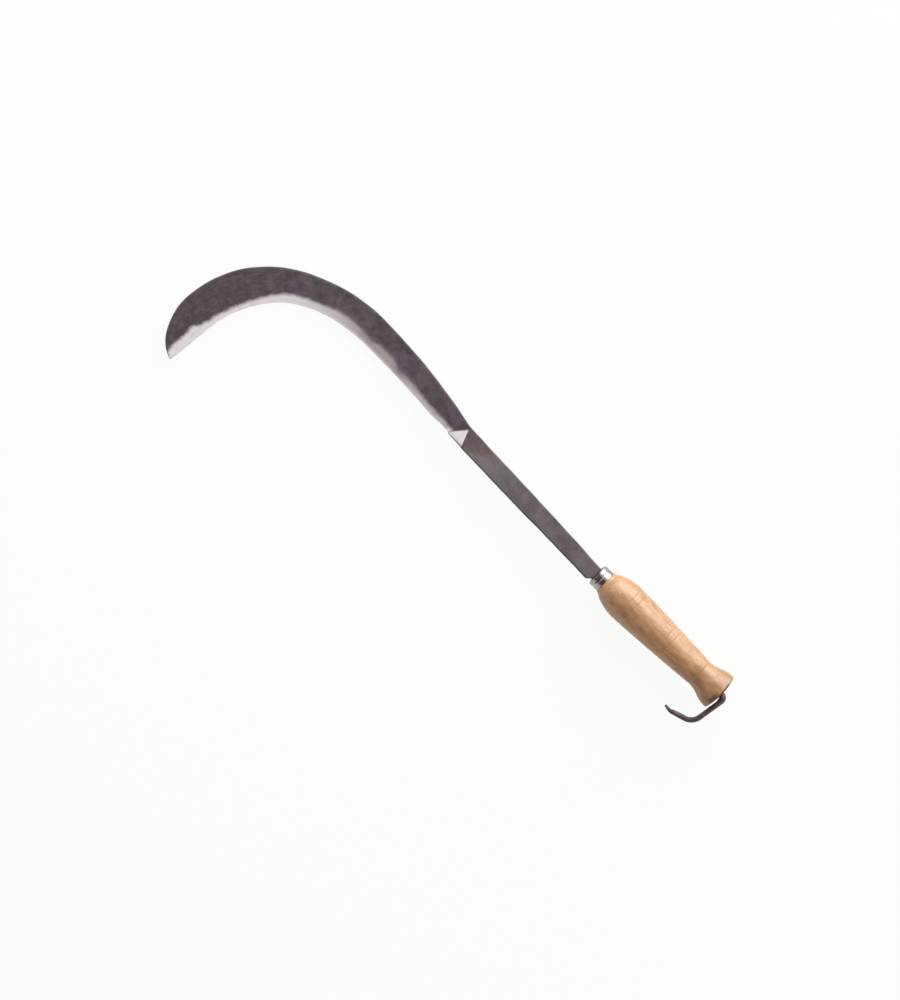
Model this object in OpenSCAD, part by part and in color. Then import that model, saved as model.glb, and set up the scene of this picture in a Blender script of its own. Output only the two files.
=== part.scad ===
// Billhook: a sickle-shaped pruning tool on a long flat shank, with a belt hook at the butt.
// Sizes are in mm. The origin is on the handle's axis at mid grip. +X runs from the handle
// to the blade, +Y to the side of the cutting edge and +Z up from the flat of the blade.

/* [Handle] */
// Length of the wood from the butt face to the ferrule
handle_length = 135; // [110:1:180]
// Diameter of the swell at the front of the grip
swell_d = 35.2; // [30:0.2:42]
// Distance from the ferrule back to the swell
swell_back = 26; // [20:1:34]
// Diameter of the waist ahead of the butt
waist_d = 25.6; // [20:0.2:30]
// Distance from the butt face forward to the waist
waist_ahead = 24; // [20:1:34]
// Diameter of the flared butt
butt_d = 35.2; // [32:0.2:44]
// Radius of the rounded rim of the butt
rim_round = 1.2; // [0.6:0.2:5]
// How far the butt face domes out at its middle
butt_dome = 1.5; // [0.2:0.1:4]
// How far the grip bows out between the swell and the waist
grip_bow = 0.4; // [0:0.1:1.5]
// How far the wood stands proud of the ferrule it runs into
shoulder_lip = 0.3; // [0:0.1:1]

/* [Turned grooves] */
// Width of each groove
groove_w = 1.2; // [0.6:0.1:2]
// Depth of each groove
groove_depth = 0.6; // [0.2:0.1:1]
// Spacing of the two grooves in a pair
groove_spacing = 6.6; // [4:0.2:10]
// Distance from the ferrule back to the middle of the front pair
front_pair_back = 29.7; // [26:0.1:40]
// Distance from the ferrule back to the middle of the second pair
second_pair_back = 72.5; // [55:0.5:85]

/* [Ferrule] */
// Length of the ferrule
ferrule_length = 9.7; // [7:0.1:16]
// Outer diameter of the ferrule
ferrule_d = 20.6; // [18:0.2:24]
// Wall of the ferrule
ferrule_wall = 0.8; // [0.5:0.1:1.5]
// Width of the crimp rolled round the ferrule
crimp_w = 3.2; // [2:0.2:5]
// Depth of the crimp
crimp_depth = 0.3; // [0.2:0.1:1]
// Radius of the lip of the ferrule that meets the shoulder of the wood
lip_round = 0.3; // [0.1:0.05:0.4]
// Inner radius of the front edge of the ferrule, which is rolled in over the wood
roll_in = 1; // [0.6:0.1:1.4]

/* [Shank] */
// Length of the shank from its shoulder to the back of the blade's heel
shank_length = 165; // [90:1:260]
// Width of the shank at the shoulder
shank_w_front = 15.2; // [13:0.2:20]
// Width of the shank at the heel of the blade
shank_w_heel = 17.8; // [14:0.2:24]
// Thickness of the shank
shank_t = 5.6; // [5:0.1:8]
// Angle between the shank and the handle's axis
shank_angle = 3; // [0:0.5:8]
// How far the shank is set over to the cutting side at the shoulder
shank_offset = 1.9; // [0:0.1:2.5]
// Size of the sloping shoulder on the cutting side
shoulder_cut = 3.8; // [2:0.2:6]
// Gap between the shoulder and the ferrule
shoulder_gap = 0.3; // [0.1:0.1:2]
// Chamfer along the back edges of the shank
back_chamfer = 0.7; // [0.3:0.1:1.5]
// Chamfer along the cutting-side edges of the shank
front_chamfer = 1.6; // [0.3:0.1:2]
// Slant of the welded joint between shank and blade, off square
weld_slant = 30; // [10:1:40]
// How far the ground ramp at the joint reaches back along the cutting side
ramp_back = 7.8; // [2:0.2:15]
// Length of the corner that is ground off the shank where it meets the blade's edge
heel_corner = 2.3; // [0.5:0.1:5]

/* [Tang and belt hook] */
// Width of the tang at the shoulder
tang_w = 9; // [6:0.5:9]
// Thickness of the tang at the shoulder
tang_t = 5.2; // [4.4:0.1:6]
// Length over which the tang tapers to a round rod
tang_taper = 95; // [60:1:110]
// Diameter of the rod at the end of the tang
rod_d = 4.7; // [3.5:0.1:4.8]
// How far the square tang stands out from the rod where they meet
rod_step = 0.2; // [0.1:0.05:0.5]
// Length of rod between the dome of the butt and the first bend
hook_stand = 0.3; // [0.2:0.1:5]
// Centreline radius of the bend at the butt
butt_bend_r = 4.2; // [4:0.1:10]
// Angle of the bend at the butt
butt_bend = 100; // [80:1:115]
// Length of the hook's drop between its bends
hook_drop = 22.5; // [16:0.5:45]
// Centreline radius of the lower bend
toe_bend_r = 12; // [6:0.5:16]
// Angle of the lower bend
toe_bend = 64; // [40:1:80]
// Length of the toe after the lower bend
hook_toe = 12.9; // [4:0.1:30]
// Angle by which the hook's point turns up from the toe
point_turn = 17; // [0:1:30]
// Length of the hook's tapered point
point_length = 7; // [4:0.5:15]
// Diameter at the end of the hook's point
point_d = 2; // [1:0.1:3]

/* [Blade back] */
// Angle by which the blade's back turns away from the shank at the heel
heel_kick = 10.4; // [4:0.1:14]
// Radius of the back along the straight part
straight_r = 570; // [400:10:900]
// Turn of the back along the straight part, in degrees
straight_turn = 11.3; // [4:0.1:14]
// Radius of the back where it starts to hook
throat_r = 165; // [120:5:260]
// Turn of the back where it starts to hook
throat_turn = 30.2; // [20:0.1:40]
// Radius of the back round the belly
belly_r = 104.6; // [80:0.1:130]
// Turn of the back round the belly
belly_turn = 55.2; // [40:0.1:70]
// Radius of the back round the nose
nose_r = 58.3; // [48:0.1:75]
// Turn of the back round the nose
nose_turn = 40.6; // [30:0.1:50]
// Radius of the back over the last of the tip
tip_r = 29.5; // [20:0.5:45]
// Turn of the back over the last of the tip
tip_turn = 41; // [20:1:50]

/* [Blade width] */
// Width of the straight part where it is fully out
straight_w = 27.2; // [22:0.2:34]
// Distance along the back from the heel to that width
straight_w_at = 150; // [100:5:180]
// Width round the belly
belly_w = 33.3; // [28:0.1:40]
// Distance along the back from the heel to where the blade starts to broaden
broaden_from = 165; // [120:5:180]
// Length along the back over which it broadens
broaden_length = 100; // [50:5:120]
// Length along the back over which the nose closes to the tip
nose_length = 84; // [60:1:100]
// Angle between the back and the edge at the tip
tip_angle = 86; // [70:1:100]
// Step from the shank in to the blade's edge at the heel
heel_step = 1; // [0.2:0.1:3]
// Width left across the tip
tip_w = 1.2; // [0.6:0.1:3]

/* [Blade section] */
// Thickness of the back at the tip
tip_t = 3; // [2:0.1:5]
// Thickness at the top of the bevel by the heel
heel_bevel_t = 3; // [2:0.1:4.5]
// Thickness at the top of the bevel by the tip
tip_bevel_t = 2; // [1.2:0.1:3]
// Thickness of the edge itself
edge_t = 0.5; // [0.2:0.1:1]
// Width of the ground bevel along the straight part
straight_bevel = 5.5; // [2:0.1:10]
// Width of the ground bevel round the belly
belly_bevel = 7.2; // [2:0.1:12]
// Width of the ground bevel at the nose
nose_bevel = 12; // [3:0.5:15]
// Distance along the back from the heel to where the bevel first widens
bevel_wide_at = 110; // [80:1:180]
// Length along the back over which the bevel widens
bevel_fade = 40; // [15:1:60]

/* [Fits] */
// Clearance of the tang and rod in the wood, on each side
tang_clearance = 0.15; // [0.05:0.05:0.3]
// Radial clearance of the ferrule on the neck of the handle
ferrule_clearance = 0.05; // [0.02:0.01:0.2]

/* [Hidden] */
$fn = 96;

steel_dark = [0.36, 0.33, 0.35];
steel_grey = [0.44, 0.41, 0.43];
steel_bright = [0.86, 0.85, 0.84];
wood = [0.82, 0.63, 0.44];

// Steps along each arc of a turned profile
arc_steps = 10;
// Sections along the blade, and how strongly they crowd towards the tip
blade_stations = 88;
tip_crowding = 1.35;
// Overshoot of cutting bodies past the faces that they cut
over = 1;

butt_x = -handle_length / 2;
front_x = handle_length / 2;
mouth_x = front_x + ferrule_length;
shoulder_x = mouth_x + shoulder_gap;

swell_x = front_x - swell_back;
waist_x = butt_x + waist_ahead;
rim_x = butt_x + rim_round;
swell_r = swell_d / 2;
waist_r = waist_d / 2;
butt_r = butt_d / 2;
front_r = ferrule_d / 2 + shoulder_lip;

function mix(a, b, t) = a + (b - a) * t;
function clamp01(t) = min(1, max(0, t));
function ease(t) = let (c = clamp01(t)) c * c * (3 - 2 * c);
// Radius of the arc that leaves a straight line and has sunk by drop after run
function arc_radius(run, drop) = (run * run + drop * drop) / (2 * drop);
// How far that arc has sunk after a distance d
function arc_sink(r, d) = r - sqrt(max(0, r * r - d * d));
// The n + 1 values that step from a to b, or the n that stop short of b
function steps(a, b, n) = [for (i = [0 : n]) mix(a, b, i / n)];
function steps_short(a, b, n) = [for (i = [0 : n - 1]) mix(a, b, i / n)];

// Radius of the turned wood at x, from the butt's rim to the ferrule
dome_r = arc_radius(swell_back, swell_r - front_r);
flare_half = (waist_x - rim_x) / 2;
flare_r = arc_radius(flare_half, (butt_r - waist_r) / 2);
function dome(x) = swell_r - arc_sink(dome_r, x - swell_x);
function grip(x) =
    let (t = (x - waist_x) / (swell_x - waist_x))
    mix(waist_r, swell_r, t) + grip_bow * 4 * t * (1 - t);
function flare(x) =
    x > waist_x - flare_half
        ? waist_r + arc_sink(flare_r, waist_x - x)
        : butt_r - arc_sink(flare_r, x - rim_x);
function rim(x) = butt_r - arc_sink(rim_round, rim_x - x);
// How far the butt face stands out at a radius r
face_r = butt_r - rim_round;
function butt_out(r) = butt_dome * (1 - r * r / (face_r * face_r));
function wood_r(x) = x > swell_x ? dome(x) : x > waist_x ? grip(x) : x > rim_x ? flare(x) : rim(x);

// Grooves sit in two pairs, with one more at the waist
groove_xs = concat(
    [for (back = [front_pair_back, second_pair_back], side = [-0.5, 0.5])
        front_x - back + side * groove_spacing],
    [waist_x]
);

// Dip of the crimp at x, the same in the ferrule's two faces and in the wood under it
crimp_x = front_x + ferrule_length / 2;
function crimp(x) = crimp_depth * (1 - ease(abs(x - crimp_x) / (crimp_w / 2)));
crimp_xs = steps(crimp_x - crimp_w / 2, crimp_x + crimp_w / 2, 2 * arc_steps);
bore_r = ferrule_d / 2 - ferrule_wall;
neck_r = bore_r - ferrule_clearance;

// Front edge of the ferrule: an arc of radius r, rolled in about a ring inside the wall
roll_out = roll_in + ferrule_wall;
roll_ring_r = ferrule_d / 2 - roll_out;
roll_ring_x = mouth_x - roll_out;
function rolled(r) =
    [for (a = steps(0, 90, arc_steps)) [roll_ring_r + r * cos(a), roll_ring_x + r * sin(a)]];
function backwards(list) = [for (i = [len(list) - 1 : -1 : 0]) list[i]];

// Outline of the shank in its own frame: its length along x, its back at -y. The shoulder is
// square to the handle's axis, so that it lies along the mouth of the ferrule.
heel_run = shank_w_heel * tan(weld_slant);
function shoulder_at(y) = [-y * tan(shank_angle), y];
back_front = shoulder_at(-shank_w_front / 2);
back_heel = [shank_length, -shank_w_heel / 2];
edge_heel = [shank_length + heel_run, shank_w_heel / 2];
weld_end = mix(back_heel, edge_heel, 1 - heel_step / shank_w_heel);
corner_start = edge_heel - [heel_corner, 0];
edge_front = [shoulder_cut, shank_w_front / 2];
shoulder_top = shoulder_at(shank_w_front / 2 - shoulder_cut);
ramp_start = [shank_length - ramp_back, shank_w_heel / 2];

// The ramp turns about the line from the heel to ramp_start, and sinks to the blade's bevel
ramp_line = ramp_start - back_heel;
ramp_turn = atan2(ramp_line.y, ramp_line.x);
ramp_reach = norm(edge_heel - back_heel) * sin(ramp_turn - (90 - weld_slant));
ramp_tilt = atan((shank_t - heel_bevel_t) / 2 / ramp_reach);
cut_block = 3 * shank_w_heel;

// The tang starts inside the shank and tapers back to the rod
tang_x = shoulder_x + over;
rod_x = shoulder_x - tang_taper;

// Belt hook: centreline points and headings, from the butt
drop_heading = 180 - butt_bend;
toe_heading = drop_heading - toe_bend;
hook_start = [butt_x - butt_dome - hook_stand, 0];
butt_bend_c = hook_start + [0, butt_bend_r];
drop_start = butt_bend_c - butt_bend_r * side_of(drop_heading);
drop_end = drop_start + hook_drop * along(drop_heading);
toe_bend_c = drop_end + toe_bend_r * side_of(drop_heading);
toe_start = toe_bend_c - toe_bend_r * side_of(toe_heading);
toe_end = toe_start + hook_toe * along(toe_heading);
point_heading = toe_heading - point_turn;
point_end = toe_end + point_length * along(point_heading);
function along(a) = [cos(a), sin(a)];
function side_of(a) = [sin(a), -cos(a)];

// The rod from the tang to the hook's point, as rings across its centreline
bend_steps = 12;
rod_sides = 20;
function rod_ring(p, heading, d) =
    [for (j = [0 : rod_sides - 1])
        let (a = 360 * j / rod_sides, q = p + d / 2 * cos(a) * side_of(heading))
        [q.x, q.y, d / 2 * sin(a)]];
function bend_rings(c, r, from, to) =
    [for (h = steps(from, to, bend_steps)) rod_ring(c - r * side_of(h), h, rod_d)];
rod_rings = concat(
    [rod_ring([rod_x + over, 0], 180, rod_d)],
    bend_rings(butt_bend_c, butt_bend_r, 180, drop_heading),
    bend_rings(toe_bend_c, toe_bend_r, drop_heading, toe_heading),
    [rod_ring(toe_end, toe_heading, rod_d), rod_ring(point_end, point_heading, point_d)]
);

// Blade: its back is a chain of tangent arcs that starts at the heel
heel_pose = let (p = turned(back_heel, -shank_angle) + [shoulder_x, shank_offset])
    [p.x, p.y, -shank_angle - heel_kick];
back_arcs = [
    [straight_r, straight_turn],
    [throat_r, throat_turn],
    [belly_r, belly_turn],
    [nose_r, nose_turn],
    [tip_r, tip_turn]
];
function turned(p, a) = [p.x * cos(a) - p.y * sin(a), p.x * sin(a) + p.y * cos(a)];
function arc_length(arc) = arc[0] * arc[1] * PI / 180;
back_length = sum([for (arc = back_arcs) arc_length(arc)]);
function sum(list, i = 0) = i == len(list) ? 0 : list[i] + sum(list, i + 1);
// Pose [x, y, heading] at a distance d along one arc from a pose
function on_arc(pose, arc, d) =
    let (h = pose[2], t = d / arc[0] * 180 / PI)
    [pose[0] + arc[0] * (sin(h + t) - sin(h)), pose[1] + arc[0] * (cos(h) - cos(h + t)), h + t];
// Pose at a distance u along the whole back
function back_at(u, pose = heel_pose, i = 0) =
    let (full = arc_length(back_arcs[i]))
    u <= full || i == len(back_arcs) - 1
        ? on_arc(pose, back_arcs[i], u)
        : back_at(u - full, on_arc(pose, back_arcs[i], full), i + 1);

// Sections lie along the weld at the heel and turn square to the back further on
weld_angle = 90 - shank_angle - weld_slant;
lean_fade = 2 * shank_w_heel;
heel_w = (shank_w_heel - heel_step) / cos(weld_slant);
function back_point(u) = let (pose = back_at(u)) [pose[0], pose[1]];
function reach_angle(u) = mix(weld_angle, back_at(u)[2] + 90, ease(u / lean_fade));
function body_w(u) =
    let (t = clamp01(u / straight_w_at))
    mix(heel_w, straight_w, 1 - (1 - t) * (1 - t))
        + (belly_w - straight_w) * ease((u - broaden_from) / broaden_length);
function body_edge(u) = back_point(u) + body_w(u) * along(reach_angle(u));

// Round the nose the edge leaves the body on its own line and closes on the tip in one curve
nose_from = back_length - nose_length;
nose_start = body_edge(nose_from);
nose_lead = nose_start - body_edge(nose_from - over);
tip_heading = back_at(back_length)[2];
tip_end = back_point(back_length) + tip_w * along(tip_heading + 90);
nose_pull = norm(tip_end - nose_start) / 3;
nose_curve = [
    nose_start,
    nose_start + nose_pull * nose_lead / norm(nose_lead),
    tip_end - nose_pull * along(tip_heading - tip_angle),
    tip_end
];
function bezier(p, t) =
    let (s = 1 - t)
    s * s * s * p[0] + 3 * s * s * t * p[1] + 3 * s * t * t * p[2] + t * t * t * p[3];
function nose_run(u) = clamp01((u - nose_from) / nose_length);
function edge_at(u) = u < nose_from ? body_edge(u) : bezier(nose_curve, nose_run(u));
function blade_w(u) = norm(edge_at(u) - back_point(u));

// Thickness of the back and of the top of the bevel, and width of the bevel
tip_thinning = 0.45;
function thinning(u) = mix(tip_thinning, 1, sqrt(1 - nose_run(u) * nose_run(u)));
function back_t(u) = mix(shank_t, tip_t, u / back_length) * thinning(u);
function bevel_t(u) = mix(heel_bevel_t, tip_bevel_t, u / back_length) * thinning(u);
bevel_in = shank_w_heel / 2;
heel_bevel = 1;
bevel_share = 0.6;
function widened(u, at) = ease((u - at) / bevel_fade + 0.5);
function bevel_w(u) =
    let (body = mix(straight_bevel, belly_bevel, widened(u, bevel_wide_at)),
         full = mix(body, nose_bevel, widened(u, nose_from + nose_length / 2)))
    min(bevel_share * blade_w(u), mix(heel_bevel, full, ease(u / bevel_in)));
function sharp_t(u) = mix(bevel_t(u) - heel_bevel / 2, edge_t, ease(u / bevel_in));

// One section as points [distance from the back, z], up the back and round the edge
function section(u) =
    let (w = blade_w(u), c = min(back_chamfer, w / 6), b = w - bevel_w(u), s = back_t(u) / 2)
    [[0, s - c], [c, s], [b, bevel_t(u) / 2], [w, sharp_t(u) / 2],
     [w, -sharp_t(u) / 2], [b, -bevel_t(u) / 2], [c, -s], [0, c - s]];
function station(i) = back_length * (1 - pow(1 - i / blade_stations, tip_crowding));
function ring(u) =
    let (back = back_point(u), reach = (edge_at(u) - back) / blade_w(u))
    [for (p = section(u)) [back.x + reach.x * p[0], back.y + reach.y * p[0], p[1]]];

// Puts a shape drawn about Z on the handle's axis
module on_axis() { rotate([0, 90, 0]) children(); }

// Puts a shape drawn in the shank's own frame in its place
module on_shank() {
    translate([shoulder_x, shank_offset, 0]) rotate([0, 0, -shank_angle]) children();
}

// Closes a row of rings of the same size to one solid
module skin(rings) {
    size = len(rings[0]);
    last = len(rings) - 1;
    sides = [for (i = [0 : last - 1], j = [0 : size - 1])
        let (a = i * size + j, b = i * size + (j + 1) % size)
        each [[a, b, b + size], [a, b + size, a + size]]];
    first_cap = [for (j = [size - 1 : -1 : 0]) j];
    last_cap = [for (j = [0 : size - 1]) last * size + j];
    polyhedron([for (r = rings) each r], concat(sides, [first_cap, last_cap]));
}

module blade() {
    color(steel_dark) skin([for (i = [0 : blade_stations]) ring(station(i))]);
}

// Does the same to the two faces of the shank
module both_faces() {
    children();
    mirror([0, 0, 1]) children();
}

// Cuts the upper edge between two points of the shank's outline to a chamfer, with the cutting
// side at out = 1 and the back at out = -1
module edge_chamfer(a, b, size, out) {
    run = b - a;
    translate([a.x, a.y, shank_t / 2])
        rotate([-45 * out, 0, atan2(run.y, run.x)])
            translate([-norm(run) / 2, -cut_block / 2, -size / sqrt(2)])
                cube([2 * norm(run), cut_block, cut_block]);
}

// Cuts the ground ramp in the top face of the shank
module ramp_cut() {
    translate([back_heel.x, back_heel.y, shank_t / 2])
        rotate([ramp_tilt, 0, ramp_turn])
            translate([-cut_block / 2, -cut_block, 0])
                cube(cut_block);
}

module shank_bar() {
    difference() {
        translate([0, 0, -shank_t / 2])
            linear_extrude(shank_t)
                polygon([back_front, back_heel, weld_end, corner_start, edge_front, shoulder_top]);
        both_faces() {
            edge_chamfer(back_front, back_heel, back_chamfer, -1);
            edge_chamfer(edge_front, edge_heel, front_chamfer, 1);
            ramp_cut();
        }
    }
}

// Outline of the tang's taper seen square to a face that is size wide at the shoulder
function taper_outline(size, extra) =
    let (a = size / 2 + extra, b = rod_d / 2 + rod_step + extra)
    [[tang_x, -a], [tang_x, a], [rod_x, b], [rod_x, -b]];

// The square part of the tang, or the room for it where extra is its clearance
module tang(extra) {
    intersection() {
        linear_extrude(2 * tang_w, center = true) polygon(taper_outline(tang_w, extra));
        rotate([90, 0, 0]) linear_extrude(2 * tang_w, center = true) polygon(taper_outline(tang_t, extra));
    }
}

module shank() {
    color(steel_grey) union() {
        on_shank() shank_bar();
        tang(0);
        skin(rod_rings);
    }
}

module ferrule() {
    outer = [for (x = crimp_xs) [ferrule_d / 2 - crimp(x), x]];
    inner = [for (x = crimp_xs) [bore_r - crimp(x), x]];
    back_lip = [for (a = steps(0, 90, arc_steps))
        [ferrule_d / 2 - lip_round + lip_round * sin(a), front_x + lip_round - lip_round * cos(a)]];
    color(steel_bright) on_axis() rotate_extrude()
        polygon(concat(
            back_lip,
            outer,
            rolled(roll_out),
            backwards(rolled(roll_in)),
            backwards(inner),
            [[bore_r, front_x]]
        ));
}

// Cuts a V round the wood at x
module groove(x) {
    r = wood_r(x);
    top = r + groove_depth;
    on_axis() rotate_extrude()
        polygon([[r - groove_depth, x], [top, x - groove_w], [top, x + groove_w]]);
}

// The hole for the rod, from the square room for the tang out through the butt
module rod_room() {
    from = butt_x - butt_dome - over;
    translate([from, 0, 0]) on_axis() cylinder(h = rod_x + over - from, d = rod_d + 2 * tang_clearance);
}

module handle() {
    body_xs = concat(
        [for (a = steps_short(0, 90, arc_steps)) rim_x - rim_round * cos(a)],
        steps_short(rim_x, waist_x, 2 * arc_steps),
        steps_short(waist_x, swell_x, arc_steps),
        steps(swell_x, front_x, arc_steps)
    );
    body = [for (x = body_xs) [wood_r(x), x]];
    face = [for (r = steps_short(0, face_r, arc_steps)) [r, butt_x - butt_out(r)]];
    neck = [for (x = crimp_xs) [neck_r - crimp(x), x]];
    mouth_r = roll_ring_r - ferrule_clearance;
    end = [[mouth_r, mouth_x - ferrule_wall - ferrule_clearance], [mouth_r, mouth_x], [0, mouth_x]];
    color(wood) difference() {
        on_axis() rotate_extrude()
            polygon(concat(
                face,
                body,
                [[neck_r, front_x]],
                neck,
                rolled(roll_in - ferrule_clearance),
                end
            ));
        tang(tang_clearance);
        rod_room();
        for (x = groove_xs) groove(x);
    }
}

blade();
shank();
ferrule();
handle();
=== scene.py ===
# %% [markdown]
# # A billhook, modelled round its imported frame
# The tool is a hooked pruning blade on a long flat shank, with a turned wooden handle, a bright
# ferrule and a belt hook at the butt. The frame holds four solids: blade, shank, ferrule, handle.
#
# The solids could be kept and only painted. Their faces are too coarse for a hand-ground bevel or a
# rounded turning, so each one is modelled again here, in the same place and at the same size.

# %% Load the frame
import math

import bmesh
import bpy
from mathutils import Matrix, Vector, noise


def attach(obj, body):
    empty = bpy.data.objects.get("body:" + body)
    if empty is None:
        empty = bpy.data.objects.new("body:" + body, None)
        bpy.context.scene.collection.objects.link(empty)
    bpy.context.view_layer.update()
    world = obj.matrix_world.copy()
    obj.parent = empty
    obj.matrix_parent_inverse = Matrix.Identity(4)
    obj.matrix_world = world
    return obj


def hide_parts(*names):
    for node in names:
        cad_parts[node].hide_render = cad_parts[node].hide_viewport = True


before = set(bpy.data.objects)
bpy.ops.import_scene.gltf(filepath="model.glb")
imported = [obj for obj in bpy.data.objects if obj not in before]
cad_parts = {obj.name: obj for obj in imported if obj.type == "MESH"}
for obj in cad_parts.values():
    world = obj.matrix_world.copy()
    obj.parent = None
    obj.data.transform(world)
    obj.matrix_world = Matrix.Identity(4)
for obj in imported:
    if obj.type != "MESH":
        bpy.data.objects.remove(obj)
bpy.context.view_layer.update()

scene = bpy.context.scene
scene.view_settings.view_transform = "Standard"
print("solids:", sorted(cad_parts))

# %% [markdown]
# ## Measures
# A maker thinks of this tool in millimetres, and Blender works in metres. The pieces are drawn in
# millimetres and shrunk once, when a mesh becomes an object, so that every size below can be
# checked against the tool with a rule. X runs from the handle to the blade, Y to the cutting side.

# %% Millimetres and a few helpers
MM = 0.001


def mix(a, b, share):
    return a + (b - a) * share


def ease(share):
    share = min(1, max(0, share))
    return share * share * (3 - 2 * share)


def steps(start, end, count):
    return [mix(start, end, i / count) for i in range(count + 1)]


def along(angle):
    return Vector((math.cos(angle), math.sin(angle)))


print("1 m =", round(1 / MM), "drawing units")

# %% [markdown]
# ## Camera
# The photograph looks straight down on the tool, which lies with its handle at the lower right. The
# camera could be aimed by hand until the outlines agree. Here its axes come from one measured angle,
# the lean of the handle in the picture, and its lens from the size of a pixel at the tool.

# %% Camera above the tool
PIXEL = 0.85 * MM
LONG_SIDE = 1000
SENSOR = 36
VIEW_DISTANCE = 2.5
VIEW_CENTRE = Vector((210.8, 41.2, 0)) * MM
HANDLE_LEAN = math.radians(43.9)

lean = along(HANDLE_LEAN)
view_right = Vector((-lean.x, -lean.y, 0))
view_up = Vector((lean.y, -lean.x, 0))
UP = Vector((0, 0, 1))
camera = bpy.data.objects.new("camera", bpy.data.cameras.new("camera"))
camera.data.sensor_width = SENSOR
camera.data.lens = SENSOR * VIEW_DISTANCE / (LONG_SIDE * PIXEL)
turn = Matrix((view_right, view_up, UP)).transposed().to_4x4()
camera.matrix_world = Matrix.Translation(VIEW_CENTRE + VIEW_DISTANCE * UP) @ turn
scene.collection.objects.link(camera)
scene.camera = camera
print("lens:", round(camera.data.lens, 1), "mm")

# %% [markdown]
# ## Wiring materials
# Blender's materials are graphs of nodes. They could be clicked together in the editor. In a script
# it is easier to read sums: a Wire is the output of a node, and arithmetic on wires adds the Math
# nodes. A Bench is one node tree, and its node method adds every other kind of node.

# %% Wires
class Wire:
    """The output of a node. Arithmetic on it adds Math nodes to the same tree."""

    def __init__(self, bench, socket):
        self.bench = bench
        self.socket = socket

    def maths(self, operation, first, second):
        return self.bench.node("ShaderNodeMath", {"operation": operation}, {0: first, 1: second})

    def __add__(self, other):
        return self.maths("ADD", self, other)

    def __sub__(self, other):
        return self.maths("SUBTRACT", self, other)

    def __rsub__(self, other):
        return self.maths("SUBTRACT", other, self)

    def __mul__(self, other):
        return self.maths("MULTIPLY", self, other)

    def __truediv__(self, other):
        return self.maths("DIVIDE", self, other)

    __radd__ = __add__
    __rmul__ = __mul__

    def output(self, name):
        return Wire(self.bench, self.socket.node.outputs[name])


print("wires can be added, subtracted, multiplied and divided")

# %% Benches
# A Mix node has sockets for each kind of data. These are the places of those for colours.
MIX_UNDER = 6
MIX_OVER = 7
MIX_COLOUR = 2


class Bench:
    """A node tree that is wired up from nothing."""

    def __init__(self, tree):
        tree.nodes.clear()
        self.tree = tree

    def node(self, kind, settings=None, sockets=None, out=0):
        made = self.tree.nodes.new(kind)
        for name, value in (settings or {}).items():
            if name == "stops":
                self.set_stops(made.color_ramp, value)
            else:
                setattr(made, name, value)
        for key, value in (sockets or {}).items():
            if isinstance(value, Wire):
                self.tree.links.new(value.socket, made.inputs[key])
            else:
                made.inputs[key].default_value = value
        return Wire(self, made.outputs[out]) if len(made.outputs) else None

    def set_stops(self, ramp, stops):
        while len(ramp.elements) < len(stops):
            ramp.elements.new(1)
        for element, (place, colour) in zip(ramp.elements, stops):
            element.position = place
            element.color = colour

    def fade(self, value, start, end):
        """A mask that rises softly from 0 at start to 1 at end."""
        sockets = {"Value": value, "From Min": start, "From Max": end}
        return self.node("ShaderNodeMapRange", {"interpolation_type": "SMOOTHSTEP"}, sockets)

    def blend(self, mask, under, over):
        """One colour laid over another by a mask."""
        sockets = {0: mask, MIX_UNDER: under, MIX_OVER: over}
        return self.node("ShaderNodeMix", {"data_type": "RGBA"}, sockets, out=MIX_COLOUR)

    def coats(self, colour, rows):
        """A colour with others laid over it in turn, each by a mask and by how much it covers."""
        for mask, cover, over in rows:
            colour = self.blend(mask * cover, colour, over)
        return colour

    def speckle(self, where, scale, detail=3, roughness=0.55):
        """Soft random noise about 0.5, with scale as waves per unit of where."""
        sockets = {"Vector": where, "Scale": scale, "Detail": detail, "Roughness": roughness}
        return self.node("ShaderNodeTexNoise", None, sockets)

    def stretched(self, where, scale):
        """A place, scaled by a different number along each axis."""
        return self.node("ShaderNodeMapping", None, {"Vector": where, "Scale": scale})

    def attribute(self, name):
        return self.node("ShaderNodeAttribute", {"attribute_name": name}, out="Fac")

    def bump(self, height):
        """A normal that follows a height in millimetres."""
        return self.node("ShaderNodeBump", None, {"Strength": 1, "Distance": MM, "Height": height})

    def show(self, surface):
        """Makes this surface the one that the material shows."""
        self.node("ShaderNodeOutputMaterial", None, {"Surface": surface})


print("benches make nodes, and have short ways to the ones that are used most")

# %% Colours and new materials
def paint(red, green, blue):
    """A colour as it looks on screen, from 0 to 255, made linear for Blender."""
    shares = (channel / 255 for channel in (red, green, blue))
    linear = [s / 12.92 if s <= 0.04045 else ((s + 0.055) / 1.055) ** 2.4 for s in shares]
    return (*linear, 1)


def bench_for(name):
    """A new material and the bench to wire it on."""
    material = bpy.data.materials.new(name)
    material.use_nodes = True
    return material, Bench(material.node_tree)


print("mid grey 128 is", round(paint(128, 128, 128)[0], 3), "in linear light")

# %% [markdown]
# ## Floor
# The tool lies on two places only: the swell of the handle and the back of the blade's belly. So
# the floor is a plane tilted by a few degrees against the tool's own frame.
#
# A white floor could be had by flooding it with light, which would burn out the tool as well. Here
# the floor glows by itself for the rays that show it directly or in metal, and the rest of its
# brightness is ordinary lit white, so that a soft shadow of the tool stays on it.

# %% A white floor that keeps a shadow
FLOOR_UP = Vector((-0.0379, 0.0321, 0.9988)).normalized()
FLOOR_TOUCH = Vector((44.1, 0, -17.9)) * MM
FLOOR_SIDE = 12
FLOOR_GLOW = 0.93
FLOOR_WHITE = (0.93, 0.93, 0.93, 1)
WHITE = (1, 1, 1, 1)


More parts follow.
